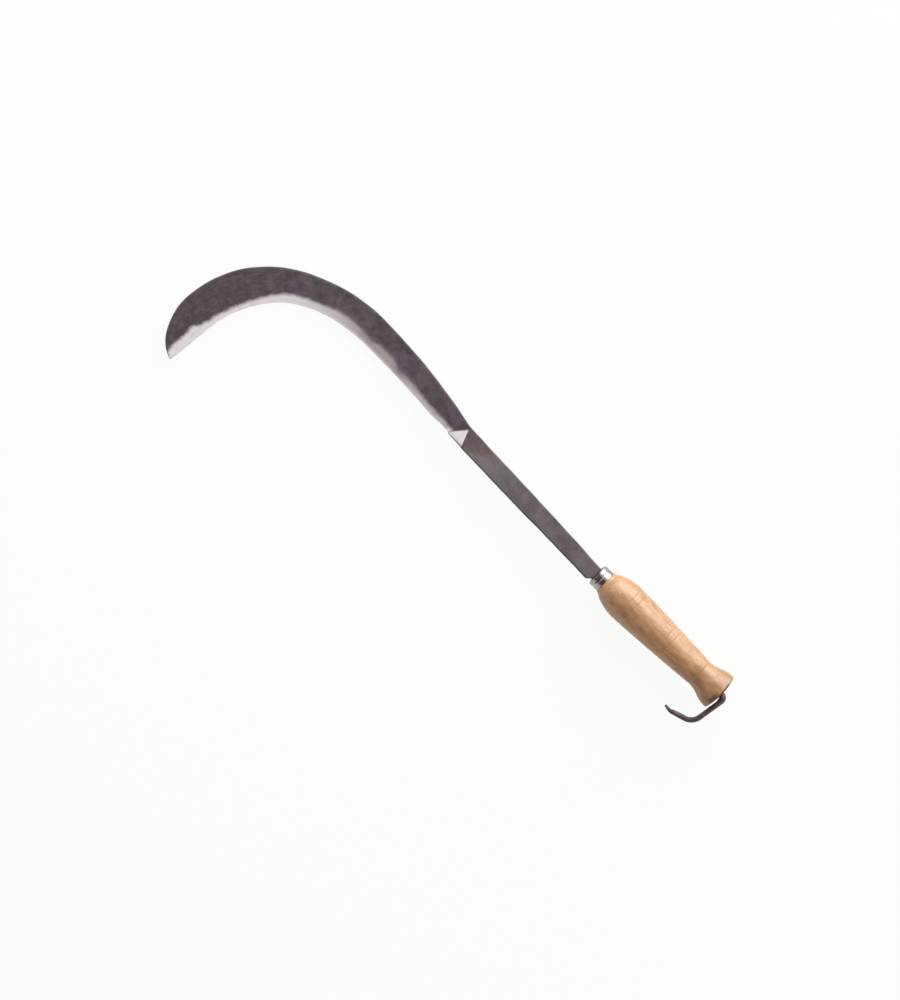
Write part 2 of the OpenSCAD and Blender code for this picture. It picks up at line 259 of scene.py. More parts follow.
def rays_that_see(bench):
    """1 for rays from the camera, and for those that bounce off metal or pass through glass."""
    path = bench.node("ShaderNodeLightPath", None, None, out="Is Camera Ray")
    return path + path.output("Is Glossy Ray") + path.output("Is Transmission Ray")


def flat_sheet(name, size, finish):
    """A flat sheet round the origin, as wide and as deep as its size says, in metres."""
    bm = bmesh.new()
    bmesh.ops.create_grid(bm, x_segments=1, y_segments=1, size=0.5)
    bmesh.ops.scale(bm, vec=Vector((*size, 1)), verts=bm.verts)
    mesh = bpy.data.meshes.new(name)
    bm.to_mesh(mesh)
    bm.free()
    mesh.materials.append(finish)
    return bpy.data.objects.new(name, mesh)


floor_finish, bench = bench_for("white_floor")
lit = bench.node("ShaderNodeBsdfDiffuse", None, {"Color": FLOOR_WHITE})
glow = bench.node("ShaderNodeEmission", None, {"Color": WHITE, "Strength": 1})
mask = rays_that_see(bench) * FLOOR_GLOW
bench.show(bench.node("ShaderNodeMixShader", None, {0: mask, 1: lit, 2: glow}))

floor = flat_sheet("floor", (FLOOR_SIDE, FLOOR_SIDE), floor_finish)
floor_turn = UP.rotation_difference(FLOOR_UP).to_matrix().to_4x4()
floor.matrix_world = Matrix.Translation(FLOOR_TOUCH) @ floor_turn
scene.collection.objects.link(floor)
print("floor tilt:", round(math.degrees(FLOOR_UP.angle(UP)), 2), "degrees")

# %% [markdown]
# ## Light
# The picture is lit from its upper right by one large soft lamp, with pale walls all round. The
# bright side of the handle faces that lamp. The room behind the cutting edge is darker: it greys the
# bevel near the heel, and something dark close to the handle shows as a stripe in the ferrule. Such
# things could be whole walls. A few cards stand for them here. Only reflections see the cards, so
# they cost no light.

# %% Lamp and room
ROOM_LIGHT = 0.38
KEY_POWER = 86
KEY_WIDTH = 2.6
KEY_HEIGHT = 2.2
KEY_DISTANCE = 2.6
KEY_FROM_ZENITH = math.radians(64)
KEY_HEADING = math.radians(-82)

world = bpy.data.worlds.new("room")
world.use_nodes = True
scene.world = world
bench = Bench(world.node_tree)
seen = rays_that_see(bench)
strength = seen * (1 - ROOM_LIGHT) + ROOM_LIGHT
room = bench.node("ShaderNodeBackground", None, {"Color": WHITE, "Strength": strength})
bench.node("ShaderNodeOutputWorld", None, {"Surface": room})


def facing(from_zenith, heading):
    """The direction at an angle down from straight up, towards a heading in the XY plane."""
    flat = along(heading) * math.sin(from_zenith)
    return Vector((flat.x, flat.y, math.cos(from_zenith)))


def stand_off(obj, spot, direction, distance):
    """Puts a lamp or card off a spot, looking at it."""
    looking = direction.to_track_quat("Z", "Y").to_matrix().to_4x4()
    obj.matrix_world = Matrix.Translation(spot + direction * distance) @ looking
    scene.collection.objects.link(obj)
    print(obj.name, "at", tuple(round(x, 2) for x in obj.location))


key = bpy.data.objects.new("key_lamp", bpy.data.lights.new("key_lamp", "AREA"))
key.data.energy = KEY_POWER
key.data.shape = "RECTANGLE"
key.data.size = KEY_WIDTH
key.data.size_y = KEY_HEIGHT
key.visible_camera = False
stand_off(key, VIEW_CENTRE, facing(KEY_FROM_ZENITH, KEY_HEADING), KEY_DISTANCE)

# %% Cards
CUTTING_SIDE = math.radians(90)
BEYOND_BLADE = Vector((1200, 0, 0)) * MM
OVER_GRIP = Vector((-12, 0, 0)) * MM
BESIDE_GRIP = Vector((-52, 0, 0)) * MM


def card(name, colour, size, spot, from_zenith, distance):
    """A sheet of one colour on the cutting side of a spot, which only reflections see."""
    finish, bench = bench_for(name)
    bench.show(bench.node("ShaderNodeEmission", None, {"Color": colour}))
    sheet = flat_sheet(name, size, finish)
    stand_off(sheet, spot, facing(math.radians(from_zenith), CUTTING_SIDE), distance)
    sheet.visible_camera = False
    sheet.visible_diffuse = False
    sheet.visible_shadow = False
    sheet.visible_transmission = False


card(
    "grey_card",
    colour=paint(165, 163, 164),
    size=(2.4, 1.8),
    spot=BEYOND_BLADE,
    from_zenith=48,
    distance=2.0,
)
card(
    "dark_card",
    colour=paint(100, 76, 70),
    size=(0.255, 0.188),
    spot=OVER_GRIP,
    from_zenith=18,
    distance=0.15,
)
card(
    "side_card",
    colour=paint(96, 74, 66),
    size=(0.19, 0.12),
    spot=BESIDE_GRIP,
    from_zenith=70,
    distance=0.16,
)

# %% [markdown]
# ## From a bmesh to a piece
# Every piece ends the same way: its faces are turned outwards, it is shrunk to metres, shaded
# smooth with crisp corners, and hung on the body it rides on, while the solid it stands for is
# hidden.

# %% Finish a piece
CRISP_ANGLE = math.radians(34)


def make_piece(name, bm, node, material):
    bmesh.ops.recalc_face_normals(bm, faces=bm.faces)
    bmesh.ops.scale(bm, vec=Vector((MM, MM, MM)), verts=bm.verts)
    mesh = bpy.data.meshes.new(name)
    bm.to_mesh(mesh)
    bm.free()
    mesh.shade_smooth()
    mesh.set_sharp_from_angle(angle=CRISP_ANGLE)
    mesh.materials.append(material)
    piece = bpy.data.objects.new(name, mesh)
    scene.collection.objects.link(piece)
    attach(piece, "root")
    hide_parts(node)
    print(name, "has", len(mesh.polygons), "faces")


print("corners of more than", round(math.degrees(CRISP_ANGLE)), "degrees stay crisp")

# %% [markdown]
# ## Drawing out
# Blade and shank are bars whose section changes along the way. They could be lofted between curves.
# Here they are drawn out, as under the hammer: a ring of points is extruded once for each section
# and then moved to it, so that all the sections have their points in the same order.

# %% Draw out a closed outline
def extrude_ring(bm, ring):
    """Extrudes a ring of vertices once, and gives the new ring in the same order."""
    edges = [bm.edges.get((ring[i], ring[i - 1])) for i in range(len(ring))]
    made = bmesh.ops.extrude_edge_only(bm, edges=edges)
    fresh = {vert for vert in made["geom"] if isinstance(vert, bmesh.types.BMVert)}
    return [
        next(edge.other_vert(vert) for edge in vert.link_edges if edge.other_vert(vert) in fresh)
        for vert in ring
    ]


def draw_out(sections, names):
    """A closed skin through sections, each a row of points and a row of named notes on them."""
    bm = bmesh.new()
    for name in names:
        bm.verts.layers.float.new(name)
    layers = [bm.verts.layers.float[name] for name in names]
    ring = bmesh.ops.create_circle(bm, segments=len(sections[0][0]), radius=1)["verts"]
    rings = [ring]
    for _ in sections[1:]:
        ring = extrude_ring(bm, ring)
        rings.append(ring)
    for ring, (points, notes) in zip(rings, sections):
        for vert, point, values in zip(ring, points, notes):
            vert.co = point
            for layer, value in zip(layers, values):
                vert[layer] = value
    for end in (rings[0], rings[-1]):
        bmesh.ops.contextual_create(bm, geom=end)
    return bm


print("drawing out: one extrusion for each section after the first")

# %% [markdown]
# ## The blade's outline
# The back of the blade is one sweep that tightens towards the tip, as a smith bends it round the
# horn of the anvil. It could be a Bezier curve with handles pulled by eye. A chain of arcs that
# run into each other is easier to measure and to correct: each arc is a radius and a turn.
#
# The edge keeps its own distance from the back. Round the nose it leaves that rule and closes on the
# tip in one curve.

# %% The back
SHANK_ANGLE = math.radians(3)
SHANK_FROM = Vector((77.5, 1.9))
SHANK_LENGTH = 165
SHANK_FRONT_WIDTH = 15.2
SHANK_HEEL_WIDTH = 17.8
SHANK_THICK = 5.6
WELD_SLANT = math.radians(30)
HEEL_KICK = math.radians(10.4)
BACK_ARCS = [(570, 11.3), (165, 30.2), (104.6, 55.2), (58.3, 40.6), (29.5, 41)]
BACK_LENGTH = sum(radius * math.radians(turn) for radius, turn in BACK_ARCS)


def on_shank(point):
    """A point of the shank's own plan, put where it lies on the tool."""
    c = math.cos(-SHANK_ANGLE)
    s = math.sin(-SHANK_ANGLE)
    return SHANK_FROM + Vector((point.x * c - point.y * s, point.x * s + point.y * c))


def back_pose(u):
    """The point of the back a length u from the heel, and the heading of the back there."""
    place = on_shank(Vector((SHANK_LENGTH, -SHANK_HEEL_WIDTH / 2)))
    heading = -SHANK_ANGLE - HEEL_KICK
    for radius, turn in BACK_ARCS:
        run = min(u, radius * math.radians(turn))
        later = heading + run / radius
        chord = (math.sin(later) - math.sin(heading), math.cos(heading) - math.cos(later))
        place = place + radius * Vector(chord)
        heading = later
        u -= run
    return place, heading


print("back of the blade:", round(BACK_LENGTH, 1), "mm")

# %% The edge
HEEL_STEP = 1
HEEL_WIDTH = (SHANK_HEEL_WIDTH - HEEL_STEP) / math.cos(WELD_SLANT)
STRAIGHT_WIDTH = 27.2
STRAIGHT_WIDTH_AT = 150
BELLY_WIDTH = 33.3
BROADEN_FROM = 165
BROADEN_LENGTH = 100
LEAN_FADE = 35.6
NOSE_LENGTH = 84
NOSE_FROM = BACK_LENGTH - NOSE_LENGTH
TIP_WIDTH = 1.2
TIP_ANGLE = math.radians(86)


def body_edge(u):
    place, heading = back_pose(u)
    rest = 1 - min(1, u / STRAIGHT_WIDTH_AT)
    broaden = (BELLY_WIDTH - STRAIGHT_WIDTH) * ease((u - BROADEN_FROM) / BROADEN_LENGTH)
    width = mix(HEEL_WIDTH, STRAIGHT_WIDTH, 1 - rest * rest) + broaden
    weld_heading = math.pi / 2 - SHANK_ANGLE - WELD_SLANT
    reach = mix(weld_heading, heading + math.pi / 2, ease(u / LEAN_FADE))
    return place + width * along(reach)


tip_place, tip_heading = back_pose(BACK_LENGTH)
nose_start = body_edge(NOSE_FROM)
nose_lead = (nose_start - body_edge(NOSE_FROM - 1)).normalized()
tip_end = tip_place + TIP_WIDTH * along(tip_heading + math.pi / 2)
nose_pull = (tip_end - nose_start).length / 3
nose_handles = (
    nose_start + nose_pull * nose_lead,
    tip_end - nose_pull * along(tip_heading - TIP_ANGLE),
)


def edge_point(u):
    if u < NOSE_FROM:
        return body_edge(u)
    t = (u - NOSE_FROM) / NOSE_LENGTH
    s = 1 - t
    inner = 3 * s * s * t * nose_handles[0] + 3 * s * t * t * nose_handles[1]
    return s**3 * nose_start + inner + t**3 * tip_end


print("tip at", tuple(round(x, 1) for x in tip_end))

# %% [markdown]
# ## The blade's section
# A forged blade is thickest at its back and thins towards the edge. The bevel is ground on by hand
# at the end, so the line where it meets the dark scale wanders: wide in some places, narrow in
# others, with a step up at the nose. That line is drawn here by a few widths and some noise.
#
# The bevel could be painted on a smooth blade. It is modelled instead, because its facet catches the
# light at another angle than the face. Each vertex also keeps how far it lies past the bevel's top
# line, and from the heel, the back and the edge, so that the finish can follow them.

# %% Thickness and bevel
BACK_ROUND = 0.9
TIP_THICK = 3
HEEL_BEVEL_THICK = 3
TIP_BEVEL_THICK = 2
EDGE_THICK = 0.3
TIP_THINNING = 0.45
PLAIN_BEVEL = 6
WIDEST_BEVEL_SHARE = 0.96
CORNER_CUT = 0.3
LEAST_FACE = 0.05
FACE_STEPS = 11
BEVEL_STEPS = 5
HEEL_SHARPNESS = 0.3
HEEL_SHARPENS_OVER = 6
BEVEL_WIDTHS = [
    (0, 5.2), (30, 5.2), (66, 6.4), (75, 5.5), (86, 9), (102, 9), (112, 6.7), (136, 8.8), (148, 9),
    (170, 7.3), (208, 8.2), (242, 5.9), (274, 4.8), (302, 6), (309, 6.5), (320, 10.8), (326, 9.8),
    (344, 9.7), (364, 7.6),
]
BEVEL_DRIFT = (9, 0.5)
BEVEL_RAGS = (3.5, 0.2)
SIDES_APART = 40


def wander(place, size, depth):
    """Random rise and fall of a size and a depth in millimetres, the same on each run."""
    return depth * noise.noise(Vector(place) / size)


def bevel_width(u, side):
    row = next(i for i in range(1, len(BEVEL_WIDTHS)) if u <= BEVEL_WIDTHS[i][0])
    (before, low), (after, high) = BEVEL_WIDTHS[row - 1 : row + 1]
    width = mix(low, high, ease((u - before) / (after - before)))
    width += wander((u, side * SIDES_APART, 7), *BEVEL_DRIFT)
    return width + wander((u, side * SIDES_APART, 3), *BEVEL_RAGS)


def blade_side(u, side):
    """Half a section, from the back to the edge: reach, height and distance past the bevel line."""
    reach = (edge_point(u) - back_pose(u)[0]).length
    run = max(0, (u - NOSE_FROM) / NOSE_LENGTH)
    thinning = mix(TIP_THINNING, 1, math.sqrt(max(0, 1 - run * run)))
    half_back = mix(SHANK_THICK, TIP_THICK, u / BACK_LENGTH) * thinning / 2
    half_top = mix(HEEL_BEVEL_THICK, TIP_BEVEL_THICK, u / BACK_LENGTH) * thinning / 2
    slope = (half_back - half_top) / (reach - min(PLAIN_BEVEL, reach / 2))
    top = reach - min(WIDEST_BEVEL_SHARE * reach, bevel_width(u, side))
    corner = min(BACK_ROUND, reach / 6)
    cut = CORNER_CUT * corner
    rounding = [(0, half_back - corner), (cut, half_back - cut)]
    face_end = max(top, corner + LEAST_FACE)
    face = [(v, half_back - slope * v) for v in steps(corner, face_end, FACE_STEPS)]
    last = face[-1][1]
    sharpness = ease(HEEL_SHARPNESS + u / HEEL_SHARPENS_OVER)
    half_edge = mix(last, EDGE_THICK / 2, sharpness)
    ground = [
        (mix(top, reach, t), mix(last, half_edge, t)) for t in steps(0, 1, BEVEL_STEPS)[1:]
    ]
    return [(v, z, v - top) for v, z in rounding + face + ground]


print("bevel at mid blade:", round(bevel_width(BACK_LENGTH / 2, 1), 1), "mm")

# %% Hammer marks and waves, and the blade drawn out from heel to tip
BLADE_STATIONS = 240
TIP_CROWDING = 1.25
SETTLED_OVER = 12
BACK_WAVES = (16, 0.35)
EDGE_WAVES = (8, 0.35)
EDGE_NICKS = (3, 0.25)
HAMMER_BLOWS = (15, 0.22)
HAMMER_GRAIN = (6, 0.1)
BLOWS_END_OVER = 3


def blade_ring(u):
    """The points of one section round the blade, and what each keeps for the finish."""
    place = back_pose(u)[0]
    across = (edge_point(u) - place).normalized()
    settled = ease(u / SETTLED_OVER) * ease((BACK_LENGTH - u) / SETTLED_OVER)
    back_wave = settled * wander((u, 11, 0), *BACK_WAVES)
    edge_wave = settled * (wander((u, 23, 0), *EDGE_WAVES) + wander((u, 29, 0), *EDGE_NICKS))
    points = []
    notes = []
    for side in (1, -1):
        half = blade_side(u, side)
        reach = half[-1][0]
        rows = half if side == 1 else half[::-1]
        for v, z, past in rows:
            spot = place + across * (v + mix(back_wave, edge_wave, v / reach))
            hammer = wander((*spot, side * 30), *HAMMER_BLOWS)
            hammer += wander((*spot, side * 60), *HAMMER_GRAIN)
            lift = hammer * settled * ease(-past / BLOWS_END_OVER)
            points.append(Vector((*spot, side * (z + lift))))
            notes.append((past, u, v, reach - v))
    return points, notes


blade_rows = [
    blade_ring(BACK_LENGTH * (1 - (1 - i / BLADE_STATIONS) ** TIP_CROWDING))
    for i in range(BLADE_STATIONS + 1)
]
blade_bm = draw_out(blade_rows, ("past_bevel", "down_blade", "from_back", "from_edge"))
print("blade:", len(blade_bm.verts), "vertices")

# %% [markdown]
# ## Forged and ground steel
# The blade carries two finishes. The face still has its forge scale: dark, violet to greenish grey,
# mottled all over, and streaked along the blade, most of all towards the nose. The bevel is bare
# ground steel with faint lines along the edge. Its middle stretch is painted darker, a painted
# reflection of the darker room on the cutting side, and it is bright again in a narrow honed line
# at the edge itself.
#
# The two could be two materials, with a hard line between them. One material holds both here and
# changes over at the bevel's line, because on the tool the scale thins out before it ends.

# %% Steel finishes
def in_millimetres(bench):
    """The place on the piece, in millimetres."""
    place = bench.node("ShaderNodeTexCoord", None, None, out="Object")
    return bench.stretched(place, (1 / MM, 1 / MM, 1 / MM))


def scale_colour(bench, where, dark, light, cool):
    """Mottled forge scale: two shades in cloudy patches, with a cooler tint in places."""
    clouds = bench.fade(bench.speckle(where, 0.09, 5, 0.62), 0.34, 0.66)
    tint = bench.fade(bench.speckle(where, 0.045, 3), 0.48, 0.66)
    mottled = bench.blend(clouds, dark, light)
    return bench.blend(tint * 0.6, mottled, cool)


def steel(bench, colour, roughness, metallic, height):
    """The shader that all the steel here shares, with its height in millimetres."""
    sockets = {
        "Base Color": colour,
        "Roughness": roughness,
        "Metallic": metallic,
        "Normal": bench.bump(height),
    }
    bench.show(bench.node("ShaderNodeBsdfPrincipled", None, sockets))


SCALE_METALLIC = 0.25
GROUND_ROUGHNESS = 0.3
LINE_ROUGHNESS = 0.12
LINE_DEPTH = 0.008


def part_ground(bench, ground, lines, scale, bare, scale_rough, scale_height):
    """Scale that is ground off where the mask says so, with fine lines in the bare steel."""
    colour = bench.blend(ground, scale, bare)
    roughness = scale_rough + ground * (GROUND_ROUGHNESS + lines * LINE_ROUGHNESS - scale_rough)
    metallic = SCALE_METALLIC + ground * (1 - SCALE_METALLIC)
    height = scale_height * (1 - ground) + ground * lines * LINE_DEPTH
    steel(bench, colour, roughness, metallic, height)


print("metallic: scale", SCALE_METALLIC, "and bare steel 1")

# %% The blade's scale
blade_finish, bench = bench_for("forged_and_ground_blade")
where = in_millimetres(bench)
past = bench.attribute("past_bevel")
down = bench.attribute("down_blade")
back = bench.attribute("from_back")
broad = bench.speckle(where, 0.035, 3)
flow = bench.node("ShaderNodeCombineXYZ", None, {"X": down * 0.06, "Y": back * 0.8})
streaks = bench.speckle(flow, 1, 4, 0.6)
drawn = 0.18 + bench.fade(down, 130, 230) * 0.27
mottle = bench.speckle(where, 0.26, 4, 0.65)
scale = scale_colour(bench, where, paint(65, 52, 61), paint(94, 78, 89), paint(75, 77, 78))
scale = bench.coats(
    scale,
    [
        # A broad drift of tone, and a darker nose
        (bench.fade(broad, 0.52, 0.66), 0.5, paint(101, 82, 89)),
        (bench.fade(broad, 0.48, 0.34), 0.5, paint(62, 54, 60)),
        (bench.fade(down, 205, 265), 0.4, paint(62, 52, 59)),
        # Streaks along the blade, and a mottle of about 4 mm
        (bench.fade(streaks, 0.5, 0.72), drawn, paint(110, 101, 106)),
        (bench.fade(streaks, 0.5, 0.3), drawn, paint(56, 48, 53)),
        (bench.fade(mottle, 0.52, 0.66), 0.4, paint(108, 93, 102)),
        (bench.fade(mottle, 0.48, 0.34), 0.4, paint(57, 47, 54)),
    ],
)
print("scale in patches and streaks:", len(bench.tree.nodes), "nodes")

# %% Pits, flecks and worn places in the scale
grains = bench.speckle(where, 0.5, 3, 0.6)
pits = bench.fade(grains, 0.66, 0.76)
pale_flecks = bench.fade(bench.speckle(where, 0.8, 2, 0.7), 0.68, 0.78)
scale = bench.coats(
    scale,
    [
        # Paler along the back near the heel
        (bench.fade(down, 95, 30) * bench.fade(back, 11, 5), 0.2, paint(120, 108, 114)),
        (pits, 0.55, paint(42, 36, 40)),
        (pale_flecks, 0.4, paint(150, 142, 146)),
        # Stained at the corner of the heel, dark along the weld
        (bench.fade(down, 9, 2) * bench.fade(back, 10, 2), 0.7, paint(70, 60, 55)),
        (bench.fade(down, 5, 0), 0.5, paint(58, 48, 51)),
        # Paler on the corner of the back: rubbed wear, and a painted highlight where the back
        # catches the lamp
        (bench.fade(back + grains * 1.6, 2.2, 0.8), 0.45, paint(140, 132, 137)),
    ],
)
print("scale with pits and wear:", len(bench.tree.nodes), "nodes")

# %% The ground bevel, over the scale
along_edge = bench.node("ShaderNodeCombineXYZ", None, {"X": down * 0.1, "Y": past * 1.1})
grind = bench.speckle(along_edge, 1, 4, 0.65)
ragged = past + (bench.speckle(where, 0.35, 4, 0.65) - 0.5) * 2.4
ground = bench.fade(ragged, -1.6, 3.0)
uneven = 0.7 + bench.speckle(where, 0.12, 3) * 0.6
# Painted reflection: the middle stretch of the bevel is painted darker, for the darker room it faces
painted_dark_reflection = (0.25 + bench.fade(down, 45, 75) * 0.75) * bench.fade(down, 200, 105) * uneven
stained = bench.fade(down, 64, 86) * bench.fade(down, 101, 92)
honed = bench.fade(bench.attribute("from_edge"), 3, 0.5)
bare = bench.blend(bench.fade(grind, 0.28, 0.74), paint(207, 199, 203), paint(227, 220, 223))
bare = bench.blend(painted_dark_reflection * (1 - honed * 0.8), bare, paint(165, 155, 161))
bare = bench.blend(stained * (1 - honed * 0.7) * 0.45, bare, paint(174, 161, 150))
haze = bench.fade(ragged, -5, 0) * bench.fade(down, 40, 70) * bench.fade(down, 190, 140)
scale = bench.blend(haze * 0.3, scale, paint(130, 119, 124))
scale_rough = 0.46 + bench.speckle(where, 0.3, 3) * 0.2
scale_height = bench.speckle(where, 0.5, 5, 0.65) * 0.05 - pits * 0.04
part_ground(bench, ground, grind, scale, bare, scale_rough, scale_height)
make_piece("forged_blade", blade_bm, "blade", blade_finish)

# %% [markdown]
# ## The shank
# The shank, the tang inside the handle and the belt hook are one bar: flat at the blade, tapered in
# the wood, round at the butt, and bent there into the hook. It could be made of boxes and tubes
# joined together, which leaves seams. Here one ring of points is drawn out along the whole bar and
# changes its section on the way, as the steel did under the hammer.
#
# At the blade the bar ends in a ground facet that slopes down to the weld. The blade's dark scale
# reaches a little way over the weld, so the bright ground shows as a triangle.

# %% Sections of the bar
BACK_CHAMFER = 0.7
FRONT_CHAMFER = 1.6
RAMP_BACK = 7.8
FACE_POINTS = 7
FACE_BORDER = 0.6
BAR_UNEVEN = (18, 0.14)
RAMP_CALM_OVER = 10
BACK_HEEL = Vector((SHANK_LENGTH, -SHANK_HEEL_WIDTH / 2))
EDGE_HEEL = Vector((SHANK_LENGTH + SHANK_HEEL_WIDTH * math.tan(WELD_SLANT), SHANK_HEEL_WIDTH / 2))
RAMP_START = Vector((SHANK_LENGTH - RAMP_BACK, SHANK_HEEL_WIDTH / 2))
RAMP_OUT = Vector((SHANK_HEEL_WIDTH, RAMP_BACK)).normalized()
RAMP_SLOPE = (SHANK_THICK - HEEL_BEVEL_THICK) / 2 / (EDGE_HEEL - BACK_HEEL).dot(RAMP_OUT)
SCALE_LINE_AT = Vector((169, 0.7))
SCALE_LINE_SLANT = math.radians(38.3)
SCALE_LINE_BACK = Vector((-math.cos(SCALE_LINE_SLANT), math.sin(SCALE_LINE_SLANT)))


def past_ramp(point):
    return (point - BACK_HEEL).dot(RAMP_OUT)


def short_of_scale(point):
    return (point - SCALE_LINE_AT).dot(SCALE_LINE_BACK)


def flat_section(half_back, half_front, back_cut, front_cut, length):
    """Reach, height and 1 on the faces, round a chamfered flat bar from its back over the top."""
    start = back_cut
    end = length - front_cut
    face = steps(start + FACE_BORDER, end - FACE_BORDER, FACE_POINTS - 2)
    top = [(0, half_back - back_cut, 0), (start, half_back, 0)]
    top += [(v, mix(half_back, half_front, (v - start) / (end - start)), 1) for v in face]
    top += [(end, half_front, 0), (length, half_front - front_cut, 0)]
    under = [(v, -z, on_face) for v, z, on_face in reversed(top)]
    return top + [(length, 0, 0)] + under + [(0, 0, 0)]


def bar_section(back, front):
    """The bar's section between two points of its plan, with the ramp ground off its faces."""
    half = SHANK_THICK / 2
    half_back = half - RAMP_SLOPE * max(0, past_ramp(back))
    half_front = half - RAMP_SLOPE * max(0, past_ramp(front))
    back_cut = half_back - half + BACK_CHAMFER
    front_cut = half_front - half + FRONT_CHAMFER
    length = (front - back).length
    across = (front - back).normalized()
    rows = flat_section(half_back, half_front, back_cut, front_cut, length)
    points = []
    notes = []
    for v, z, on_face in rows:
        plan = back + across * v
        worn = wander((*plan, z), *BAR_UNEVEN) * ease(-past_ramp(plan) / RAMP_CALM_OVER)
        spot = on_shank(plan)
        points.append(Vector((*spot, z * (1 + worn / SHANK_THICK))))
        notes.append((past_ramp(plan), plan.y, on_face, short_of_scale(plan)))
    return points, notes


print("ramp falls", round(math.degrees(math.atan(RAMP_SLOPE)), 1), "degrees to the weld")

# %% The bar's plan, with what forging leaves in it
WAVES_END = SHANK_LENGTH - 8
WAVES_END_OVER = 10
BAR_WAVES = (14, 0.3)
BACK_SWELL = {"height": 0.4, "start": 15, "rise": 20, "end": 140, "fall": 40}
FRONT_SWELL = {"height": 0.55, "start": 40, "rise": 60, "end": 170, "fall": 20}


def swell(x, height, start, rise, end, fall):
    """A low swell that rises from its start and has fallen away again by its end."""
    return height * ease((x - start) / rise) * ease((end - x) / fall)


def bar_width(x):
    return mix(SHANK_FRONT_WIDTH, SHANK_HEEL_WIDTH, min(1, x / SHANK_LENGTH))


def plan_pair(back_x, front_x):
    """The back and front points of the bar's plan, with its swell and waves."""
    calm = ease((WAVES_END - front_x) / WAVES_END_OVER)
    back_wave = calm * wander((back_x, 51, 0), *BAR_WAVES) - swell(back_x, **BACK_SWELL)
    front_wave = calm * wander((front_x, 57, 0), *BAR_WAVES) + swell(front_x, **FRONT_SWELL)
    back = Vector((back_x, -bar_width(back_x) / 2 + back_wave))
    return back, Vector((front_x, bar_width(front_x) / 2 + front_wave))


middle = plan_pair(SHANK_LENGTH / 2, SHANK_LENGTH / 2)
print("bar half way:", round((middle[1] - middle[0]).length, 1), "mm wide")

# %% The bar from the weld to its shoulder
FACET_STEPS = 8
SQUARING_STEPS = 16
BAR_STEPS = 40
SQUARE_AT = 120
SHOULDER_CUT = 3.8
SHOULDER_BACK = 0.4
SHOULDER_FRONT = -0.14
HEEL_CORNER = 2.3
BACK_CREEP = 0.05
WELD_END = BACK_HEEL.lerp(EDGE_HEEL, 1 - HEEL_STEP / SHANK_HEEL_WIDTH)

bar_pairs = [(BACK_HEEL, WELD_END)]
facet_xs = steps(EDGE_HEEL.x - HEEL_CORNER, RAMP_START.x, FACET_STEPS)
for i, front_x in enumerate(facet_xs):
    back_x = BACK_HEEL.x - BACK_CREEP * (i + 1)
    bar_pairs.append(plan_pair(back_x, front_x))
bar_pairs += [
    plan_pair(mix(back_x, SQUARE_AT, t), mix(RAMP_START.x, SQUARE_AT, t))
    for t in steps(0, 1, SQUARING_STEPS)[1:]
]
bar_pairs += [plan_pair(x, x) for x in steps(SQUARE_AT, SHOULDER_CUT, BAR_STEPS)[1:]]
shoulder_back = Vector((SHOULDER_BACK, -SHANK_FRONT_WIDTH / 2))
shoulder_front = Vector((SHOULDER_FRONT, SHANK_FRONT_WIDTH / 2 - SHOULDER_CUT))
bar_back, bar_front = bar_pairs[-1]
bar_pairs += [
    (bar_back.lerp(shoulder_back, t), bar_front.lerp(shoulder_front, t)) for t in (0.5, 1)
]
shank_rows = [bar_section(back, front) for back, front in bar_pairs]
print("bar:", len(shank_rows), "sections of", len(shank_rows[0][0]), "points")

# %% [markdown]
# ### Tang and belt hook
# Behind the shoulder the bar is a flat tang that tapers to a square in the wood, then a round rod.
# Where the rod leaves the butt it is bent down close to the wood, runs across, and turns up into the
# hook that hangs on a belt. The smith drew its last few millimetres to a thin point on the outer
# side, which leaves a small step on the inner side.

# %% The tang and the rod in the wood
TANG_FRONT = 77.4
TANG_WIDTH = 8.9
TANG_THICK = 5.2
TANG_EDGE = 0.4
TANG_STEPS = 8
ROD_FROM = -17.5
ROD_ROUND_FROM = ROD_FROM - 1
ROD = 4.7
ROD_SQUARE = 5.1
ROD_STEPS = 8
BUTT_OUT = -69.9
FAR_FROM_WELD = (-400, 0, 1, 400)


def side_of(heading):
    return Vector((math.sin(heading), -math.cos(heading)))


def rod_section(place, heading, diameter, shift=0):
    """A round section across the rod, in the same order as the flat bar's points."""
    count = 2 * (FACE_POINTS + 3) + 2
    points = []
    for j in range(count):
        angle = math.pi * (1 - 2 * (j + 1) / count)
        spot = place + side_of(heading) * (diameter / 2 * math.cos(angle) + shift)
        points.append(Vector((*spot, diameter / 2 * math.sin(angle))))
    return points, [FAR_FROM_WELD] * count


def tang_section(x, width, thick):
    half = thick / 2
    rows = flat_section(half, half, TANG_EDGE, TANG_EDGE, width)
    points = [Vector((x, v - width / 2, z)) for v, z, _ in rows]
    return points, [FAR_FROM_WELD] * len(points)


tang_sizes = zip(
    steps(TANG_FRONT, ROD_FROM, TANG_STEPS),
    steps(TANG_WIDTH, ROD_SQUARE, TANG_STEPS),
    steps(TANG_THICK, ROD_SQUARE, TANG_STEPS),
)
shank_rows += [tang_section(x, width, thick) for x, width, thick in tang_sizes]
rod_xs = steps(ROD_ROUND_FROM, BUTT_OUT, ROD_STEPS)
shank_rows += [rod_section(Vector((x, 0)), math.pi, ROD) for x in rod_xs]
print("tang:", round(TANG_FRONT - ROD_FROM, 1), "mm long, then a rod of", ROD, "mm")

# %% The hook
BUTT_BEND = (4.2, math.radians(100))
HOOK_DROP = 22.5
TOE_BEND = (12, math.radians(64))
HOOK_TOE = 12
BEND_STEPS = 14
STRAIGHT_STEPS = 8
UPSET = {"height": 0.2, "start": 0, "rise": 4, "end": 12, "fall": 6}
PILED_UP = {"height": 0.9, "start": 0, "rise": 3, "end": 11, "fall": 4}
TOE_THINS = 0.4
TOE_THINS_FROM = 49
TOE_THINS_OVER = 6
ROD_UNEVEN = (6, 0.3)


